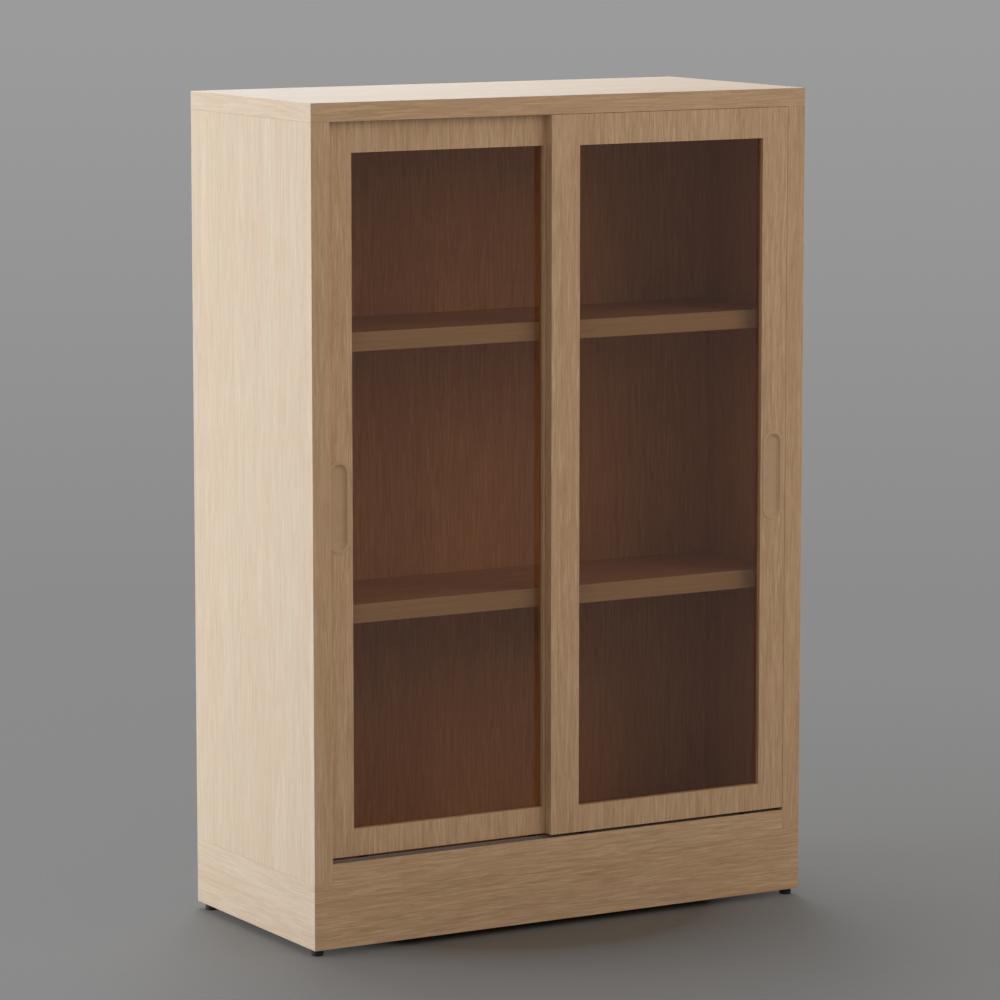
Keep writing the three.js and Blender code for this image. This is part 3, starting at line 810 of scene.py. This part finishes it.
class BOOKCASE_OT_pulls(bpy.types.Operator):
    """Sweeps the rim and cup of each finger pull"""
    bl_idname = "bookcase.pulls"
    bl_label = "Finger pulls"

    def execute(self, context):
        fitting = context.scene.bookcase_fittings
        for door in ("front", "rear"):
            node = f"{door}_door_pull"
            low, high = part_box(node)
            width, length = high.x - low.x, high.z - low.z
            # Heights are over the door's face, and insets are from the rim's outline
            top = fitting.rim_proud
            under = top - (high.y - low.y)
            floor = under + fitting.cup_wall
            mouth, edge, soft = fitting.rim_width, fitting.rim_round, fitting.cup_round
            foot, outer = mouth + fitting.cup_slope, mouth - fitting.cup_wall
            profile = [(width / 2, floor), (foot + soft, floor), (foot - soft / 2, floor + soft / 2)]
            profile.append((mouth, floor + fitting.cup_slope))
            profile += rounded((mouth - edge, top - edge), edge, 0)
            profile += rounded((edge, top - edge), edge, pi / 2)
            profile += [(0, 0), (outer, 0), (outer, under), (width / 2, under)]
            line = bpy.data.meshes.new(f"{door}_pull_profile")
            line.from_pydata([(inset, 0, height) for inset, height in profile], [], [])
            mesh = grown_mesh(f"{door}_door_pull_swept", line, pull_tree(), {
                "Width": width, "Length": length, "Steps": 24, "Points": len(profile),
                "Material": finish("tan_plastic"),
            })
            stand_up = Matrix.Rotation(pi / 2, 4, "X")
            centre = Vector(((low.x + high.x) / 2, low.y + fitting.rim_proud, (low.z + high.z) / 2))
            mesh.transform(Matrix.Translation(centre) @ stand_up)
            mesh.shade_smooth()
            mesh.set_sharp_from_angle(angle=radians(30))
            show(f"{door}_door_pull_swept", mesh, [node], body_of(node), "tan_plastic")
        return {"FINISHED"}


class BOOKCASE_OT_tracks(bpy.types.Operator):
    """Rounds the edges of the two tracks and drives their screws"""
    bl_idname = "bookcase.tracks"
    bl_label = "Tracks and screws"

    def execute(self, context):
        fitting = context.scene.bookcase_fittings
        front_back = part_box("front_door_frame")[1].y
        rear_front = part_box("rear_door_frame")[0].y
        channel_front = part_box("rear_roller_housing_left")[0].y
        bottom_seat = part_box("bottom_track")[1].z - fitting.rib_rise
        top_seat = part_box("top_track")[1].z - fitting.top_web
        self.track("bottom_track", 1, (rear_front + channel_front) / 2, bottom_seat)
        self.track("top_track", -1, (front_back + rear_front) / 2, top_seat)
        return {"FINISHED"}

    def track(self, node, facing, middle, seat):
        """A track and its row of screws, whose heads lie on a seat and face up (1) or down (-1)."""
        fitting = bpy.context.scene.bookcase_fittings
        low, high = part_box(node)
        show(f"{node}_moulded", eased(node, fitting.plastic_ease), [node], body_of(node), "grey_plastic")
        inset = fitting.screw_spacing / 4
        height = seat + facing * fitting.screw_height / 2
        ends = [(x, middle, height) for x in (low.x + inset, high.x - inset)]
        set_heads(f"{node}_screws", [ends], (0, 0, facing), "screw", fitting.screw_spacing, body_of(node))


class BOOKCASE_OT_rollers(bpy.types.Operator):
    """Turns the rollers and their axles, and rounds their housings and the upper guides"""
    bl_idname = "bookcase.rollers"
    bl_label = "Rollers and guides"

    def execute(self, context):
        fitting = context.scene.bookcase_fittings
        soft = fitting.plastic_ease
        for door in ("front", "rear"):
            for end in ("left", "right"):
                for part in (f"{door}_roller_housing_{end}", f"{door}_door_guide_{end}"):
                    show(f"{part}_moulded", eased(part, soft), [part], body_of(part), "black_nylon")
                self.wheel(f"{door}_roller_wheel_{end}", f"{door}_roller_axle_{end}")
                self.axle(f"{door}_roller_axle_{end}")
        return {"FINISHED"}

    def wheel(self, node, axle_node):
        """A nylon wheel with a rounded tread and a shallow dish on both sides."""
        play, edge, dish = 0.08 * MILLIMETRE, 0.6 * MILLIMETRE, 0.8 * MILLIMETRE
        hub_wall, tread_wall = 1.3 * MILLIMETRE, 1.5 * MILLIMETRE
        low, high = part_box(node)
        bore = (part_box(axle_node)[1].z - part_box(axle_node)[0].z) / 2 + play
        radius, half = (high.z - low.z) / 2, (high.y - low.y) / 2
        hub, lip = bore + hub_wall, radius - tread_wall
        side = [(hub, half), (hub + dish / 2, half - dish), (lip - dish / 2, half - dish), (lip, half)]
        tread = rounded((radius - edge, half - edge), edge, 0)
        face = [(bore, half), *side, *reversed(tread)]
        profile = face + [(r, -y) for r, y in reversed(face)]
        mesh = turned(f"{node}_turned", profile, 48, (low + high) / 2, Y)
        show(f"{node}_turned", mesh, [node], body_of(node), "black_nylon")

    def axle(self, node):
        """A steel pin with rounded ends."""
        edge = 0.4 * MILLIMETRE
        low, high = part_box(node)
        radius, half = (high.z - low.z) / 2, (high.y - low.y) / 2
        tip = rounded((radius - edge, half - edge), edge, 0)
        face = [(0, half), *reversed(tip)]
        profile = face + [(r, -y) for r, y in reversed(face)]
        mesh = turned(f"{node}_turned", profile, 24, (low + high) / 2, Y)
        show(f"{node}_turned", mesh, [node], body_of(node), "zinc_steel")


class BOOKCASE_OT_pins(bpy.types.Operator):
    """Turns the shelf pins and the glides, and rounds the buffers"""
    bl_idname = "bookcase.pins"
    bl_label = "Shelf pins, glides and buffers"

    def execute(self, context):
        soft = context.scene.bookcase_fittings.plastic_ease
        for side in ("left", "right"):
            node = f"buffer_{side}"
            show(f"{node}_moulded", eased(node, soft), [node], body_of(node), "grey_rubber")
            for row in ("front", "back"):
                self.glide(f"foot_{row}_{side}")
                for level in ("lower", "upper"):
                    self.pin(f"{level}_shelf_pin_{row}_{side}", 1 if side == "right" else -1)
        return {"FINISHED"}

    def pin(self, node, hand):
        """A plated pin: a shank with a tapered tip, and a head with a domed end and a groove."""
        head_length, shoulder = 8 * MILLIMETRE, 1 * MILLIMETRE
        taper, groove, dome = 0.5 * MILLIMETRE, 0.3 * MILLIMETRE, 0.8 * MILLIMETRE
        low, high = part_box(node)
        radius = (high.z - low.z) / 2
        length = high.x - low.x
        shank = radius - shoulder
        seat = -length / 2 + head_length
        # The groove lies its own depth away from the seat, and its walls lean a little
        groove_start, groove_end, lean = seat - 2 * groove, seat - groove, 0.2 * groove
        profile = [(0, -length / 2)]
        profile += [(r, -y) for r, y in reversed(rounded((radius - dome, length / 2 - dome), dome, 0))]
        profile += [
            (radius, groove_start - lean), (radius - groove, groove_start),
            (radius - groove, groove_end), (radius, groove_end + lean),
            (radius, seat), (shank, seat),
            (shank, length / 2 - taper), (shank - taper, length / 2), (0, length / 2),
        ]
        profile = [(r, hand * y) for r, y in profile]
        mesh = turned(f"{node}_turned", profile, 32, (low + high) / 2, X)
        show(f"{node}_turned", mesh, [node], body_of(node), "zinc_steel")

    def glide(self, node):
        """A black glide: a disc with a rounded foot and a groove, and a pin up into the plinth."""
        foot, groove, pin = 0.8 * MILLIMETRE, 0.4 * MILLIMETRE, 2 * MILLIMETRE
        low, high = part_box(node)
        radius = (high.x - low.x) / 2
        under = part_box("plinth_left")[0].z
        groove_start, groove_end, lean = 0.6 * under, 0.7 * under, 0.05 * under
        sole = rounded((radius - foot, foot), foot, -pi / 2)
        profile = [
            (0, 0), *sole,
            (radius, groove_start - lean), (radius - groove, groove_start),
            (radius - groove, groove_end), (radius, groove_end + lean),
            (radius, under), (pin, under),
            (pin, high.z - groove), (pin - groove, high.z), (0, high.z),
        ]
        middle = ((low.x + high.x) / 2, (low.y + high.y) / 2, 0)
        mesh = turned(f"{node}_turned", profile, 48, middle, Z)
        show(f"{node}_turned", mesh, [node], body_of(node), "black_plastic")


class BOOKCASE_OT_stage(bpy.types.Operator):
    """Sets the floor, the lamps and the camera"""
    bl_idname = "bookcase.stage"
    bl_label = "Floor, lamps and camera"

    def execute(self, context):
        stage = context.scene.bookcase_stage
        self.floor(stage)
        self.world(context.scene, stage)
        shades = {"key": stage.sky, "top": stage.sky, "fill": stage.lamp, "side": stage.lamp}
        for name, shade in shades.items():
            at, watts = getattr(stage, f"{name}_place"), getattr(stage, f"{name}_watts")
            self.softbox(f"{name}_light", at, stage.light_size, watts, shade)
        self.camera(context.scene, stage)
        context.scene.view_settings.view_transform = "Standard"
        return {"FINISHED"}

    def floor(self, stage):
        """A plain floor that fades into the backdrop with its distance from the bookcase."""
        shape = bmesh.new()
        bmesh.ops.create_circle(shape, cap_ends=True, segments=64, radius=2 * stage.fade_end)
        mesh = bpy.data.meshes.new("floor")
        shape.to_mesh(mesh)
        shape.free()
        floor = bpy.data.objects.new("floor", mesh)
        bpy.context.scene.collection.objects.link(floor)
        material = new_material("plain_floor", stage.floor)
        tree = material.node_tree
        at = add(tree, "ShaderNodeTexCoord", out="Object")
        away = add(tree, "ShaderNodeVectorMath", {0: at}, "Value", operation="LENGTH")
        reach = add(tree, "ShaderNodeMapRange", {
            "Value": away, "From Min": stage.fade_start, "From Max": stage.fade_end,
        }, "Result")
        gone = add(tree, "ShaderNodeMath", {0: reach, 1: stage.fade_power}, "Value", operation="POWER")
        ground = add(tree, "ShaderNodeBsdfPrincipled", {
            "Base Color": opaque(stage.floor), "Roughness": 0.6, "Specular IOR Level": 0.3,
        }, "BSDF")
        nothing = add(tree, "ShaderNodeBsdfTransparent", out="BSDF")
        close(tree, add(tree, "ShaderNodeMixShader", {"Fac": gone, 1: ground, 2: nothing}, "Shader"))
        mesh.materials.append(material)
        floor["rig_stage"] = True

    def world(self, scene, stage):
        """Even light from all round. The camera sees a plain backdrop instead, which is near where it looks
        down at the floor and far where it looks towards the horizon."""
        near_rise, far_rise = -0.16, -0.04
        scene.world = bpy.data.worlds.new("room")
        scene.world.use_nodes = True
        tree = scene.world.node_tree
        tree.nodes.clear()
        seen = add(tree, "ShaderNodeLightPath", out="Is Camera Ray")
        towards = add(tree, "ShaderNodeTexCoord", out="Generated")
        rise = socket(add(tree, "ShaderNodeSeparateXYZ", {"Vector": towards}).outputs, "Z")
        level = add(tree, "ShaderNodeMapRange", {
            "Value": rise, "From Min": near_rise, "From Max": far_rise,
        }, "Result")
        backdrop = blended(tree, level, opaque(stage.near), opaque(stage.far))
        shade = blended(tree, seen, opaque(stage.room), backdrop)
        light = add(tree, "ShaderNodeBackground", {"Color": shade, "Strength": 1.0}, "Background")
        add(tree, "ShaderNodeOutputWorld", {"Surface": light})

    def softbox(self, name, at, side, watts, shade):
        """A square lamp that faces the middle of the bookcase."""
        low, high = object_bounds()
        lamp = bpy.data.lights.new(name, "AREA")
        lamp.size = side
        lamp.energy = watts
        lamp.color = shade
        holder = bpy.data.objects.new(name, lamp)
        bpy.context.scene.collection.objects.link(holder)
        holder.location = at
        aim = (Vector(low) + Vector(high)) / 2 - Vector(at)
        holder.rotation_euler = aim.to_track_quat("-Z", "Y").to_euler()

    def camera(self, scene, stage):
        """The camera, at the place and with the lens that the photograph was taken with."""
        lens = bpy.data.cameras.new("camera")
        lens.lens = stage.camera_lens
        lens.clip_end = 500
        holder = bpy.data.objects.new("camera", lens)
        scene.collection.objects.link(holder)
        holder.location = stage.camera_place
        holder.rotation_euler = (pi / 2 - stage.camera_pitch, 0, stage.camera_yaw)
        scene.camera = holder


# Panel

MAKERS = (
    BOOKCASE_OT_boards, BOOKCASE_OT_doors, BOOKCASE_OT_panes, BOOKCASE_OT_pulls, BOOKCASE_OT_tracks,
    BOOKCASE_OT_rollers, BOOKCASE_OT_pins, BOOKCASE_OT_stage,
)
SETTINGS = {
    "bookcase_boards": BoardSettings,
    "bookcase_glass": GlassSettings,
    "bookcase_fittings": FittingSettings,
    "bookcase_stage": StageSettings,
}


class BOOKCASE_PT_panel(bpy.types.Panel):
    """Lists what the bookcase is made of, with its sizes and colours"""
    bl_idname = "BOOKCASE_PT_panel"
    bl_label = "Bookcase"
    bl_space_type = "VIEW_3D"
    bl_region_type = "UI"
    bl_category = "Bookcase"

    def draw(self, context):
        for maker in MAKERS:
            self.layout.operator(maker.bl_idname)
        for key, group in SETTINGS.items():
            box = self.layout.box()
            box.label(text=group.__doc__)
            for setting in group.__annotations__:
                box.prop(getattr(context.scene, key), setting)


def register():
    for group in (*SETTINGS.values(), *MAKERS, BOOKCASE_PT_panel):
        bpy.utils.register_class(group)
    for key, group in SETTINGS.items():
        setattr(bpy.types.Scene, key, bpy.props.PointerProperty(type=group))


def unregister():
    for key in SETTINGS:
        delattr(bpy.types.Scene, key)
    for group in reversed((*SETTINGS.values(), *MAKERS, BOOKCASE_PT_panel)):
        bpy.utils.unregister_class(group)


def main():
    """Makes every piece in order."""
    register()
    for maker in MAKERS:
        group, call = maker.bl_idname.split(".")
        getattr(getattr(bpy.ops, group), call)()


if __name__ == "__main__":
    main()
